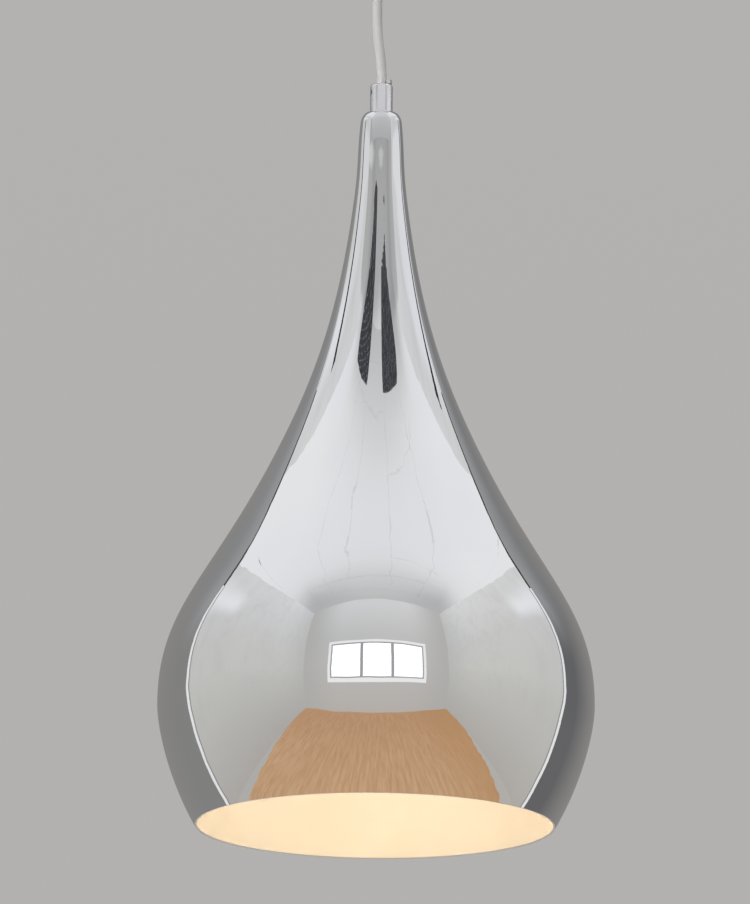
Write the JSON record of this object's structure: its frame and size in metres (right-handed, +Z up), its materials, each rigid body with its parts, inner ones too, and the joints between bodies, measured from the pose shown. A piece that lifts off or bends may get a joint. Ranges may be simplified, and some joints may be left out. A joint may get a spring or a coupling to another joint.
{
  "type": "pendant lamp",
  "caption": "Teardrop pendant lamp: a chromed spun shade, white inside, on a clear flex with a cord grip, a ceiling canopy and a screw-in bulb.",
  "frame": {"origin": "middle of the face that the ceiling bracket puts against the ceiling", "axes": "+Z up towards the ceiling, the lamp hangs along -Z, +X to the right as seen from the front (-Y)"},
  "size_m": [0.24, 0.24, 0.538],
  "materials": {
    "chrome": "bright chrome plate on spun metal",
    "white_enamel": "satin white baked enamel on the inside of the shade",
    "satin_nickel": "satin nickel plate",
    "zinc_steel": "bright zinc plate",
    "brass": "plain brass",
    "white_plastic": "moulded, slightly satin",
    "nylon": "translucent moulded nylon",
    "clear_pvc": "clear flex sheath over pale twisted cores",
    "ceramic": "fine steatite",
    "brown_core": "core insulation",
    "blue_core": "core insulation",
    "earth_core": "core insulation, green and yellow",
    "solder": "solder",
    "black_glass": "black vitrite",
    "opal_glass": "opal, lit warm white",
    "clear_glass": "clear",
    "tungsten": "drawn wire"
  },
  "bodies": {
    "ceiling_rose": {"ceiling_bracket": "zinc_steel", "canopy_cover": "chrome", "canopy_screw_left": "satin_nickel", "canopy_screw_right": "satin_nickel", "terminal_block": "white_plastic", "terminal_screw_live": "brass", "terminal_screw_neutral": "brass", "terminal_fixing_screw": "zinc_steel", "earth_eyelet": "brass", "earth_screw": "brass", "ceiling_cord_grip": "satin_nickel", "ceiling_grip_nut": "zinc_steel", "ceiling_grip_insert": "nylon", "ceiling_grip_screw": "zinc_steel", "flex_ceiling_end": "clear_pvc", "ceiling_core_live": "brown_core", "ceiling_core_neutral": "blue_core", "ceiling_core_earth": "earth_core"},
    "cord_head": {"cord_head": "clear_pvc"},
    "cord": {"cord": "clear_pvc"},
    "lamp": {"cord_grip": "satin_nickel", "grip_insert": "nylon", "grip_screw": "zinc_steel", "flex_lamp_end": "clear_pvc", "shade": "chrome", "neck_washer": "zinc_steel", "neck_nut": "zinc_steel", "threaded_tube": "zinc_steel", "holder_locknut": "zinc_steel", "holder_cap": "white_plastic", "holder_body": "white_plastic", "holder_ring": "white_plastic", "contact_block": "ceramic", "holder_core_live": "brown_core", "holder_core_neutral": "blue_core", "centre_contact": "brass", "side_contact": "brass", "screw_shell": "brass"},
    "bulb_tip": {"bulb_tip": "solder"},
    "bulb": {"bulb_insulator": "black_glass", "bulb_cap": "zinc_steel", "bulb_globe": "opal_glass", "bulb_stem": "clear_glass", "bulb_filament": "tungsten"}
  },
  "joints": [
    {"name": "swing_side", "type": "hinge", "parent": "ceiling_rose", "child": "cord_head", "pos_m": [0, 0, -0.0443], "axis": [0, 1, 0], "range_deg": [-25, 25]},
    {"name": "swing_fore", "type": "hinge", "parent": "cord_head", "child": "cord", "pos_m": [0, 0, -0.0643], "axis": [1, 0, 0], "range_deg": [-25, 25]},
    {"name": "lamp_twist", "type": "hinge", "parent": "cord", "child": "lamp", "pos_m": [0, 0, -0.121], "axis": [0, 0, 1], "range_deg": [-180, 180]},
    {"name": "bulb_travel", "type": "slide", "parent": "lamp", "child": "bulb_tip", "axis": [0, 0, -1], "range_m": [0, 0.01996]},
    {"name": "bulb_turn", "type": "hinge", "parent": "bulb_tip", "child": "bulb", "pos_m": [0, 0, -0.28], "axis": [0, 0, -1], "range_deg": [0, 1990]}
  ],
  "couplings": [
    {"joint": "bulb_turn", "follows": "bulb_travel", "rad_per_m": 1730.9}
  ]
}
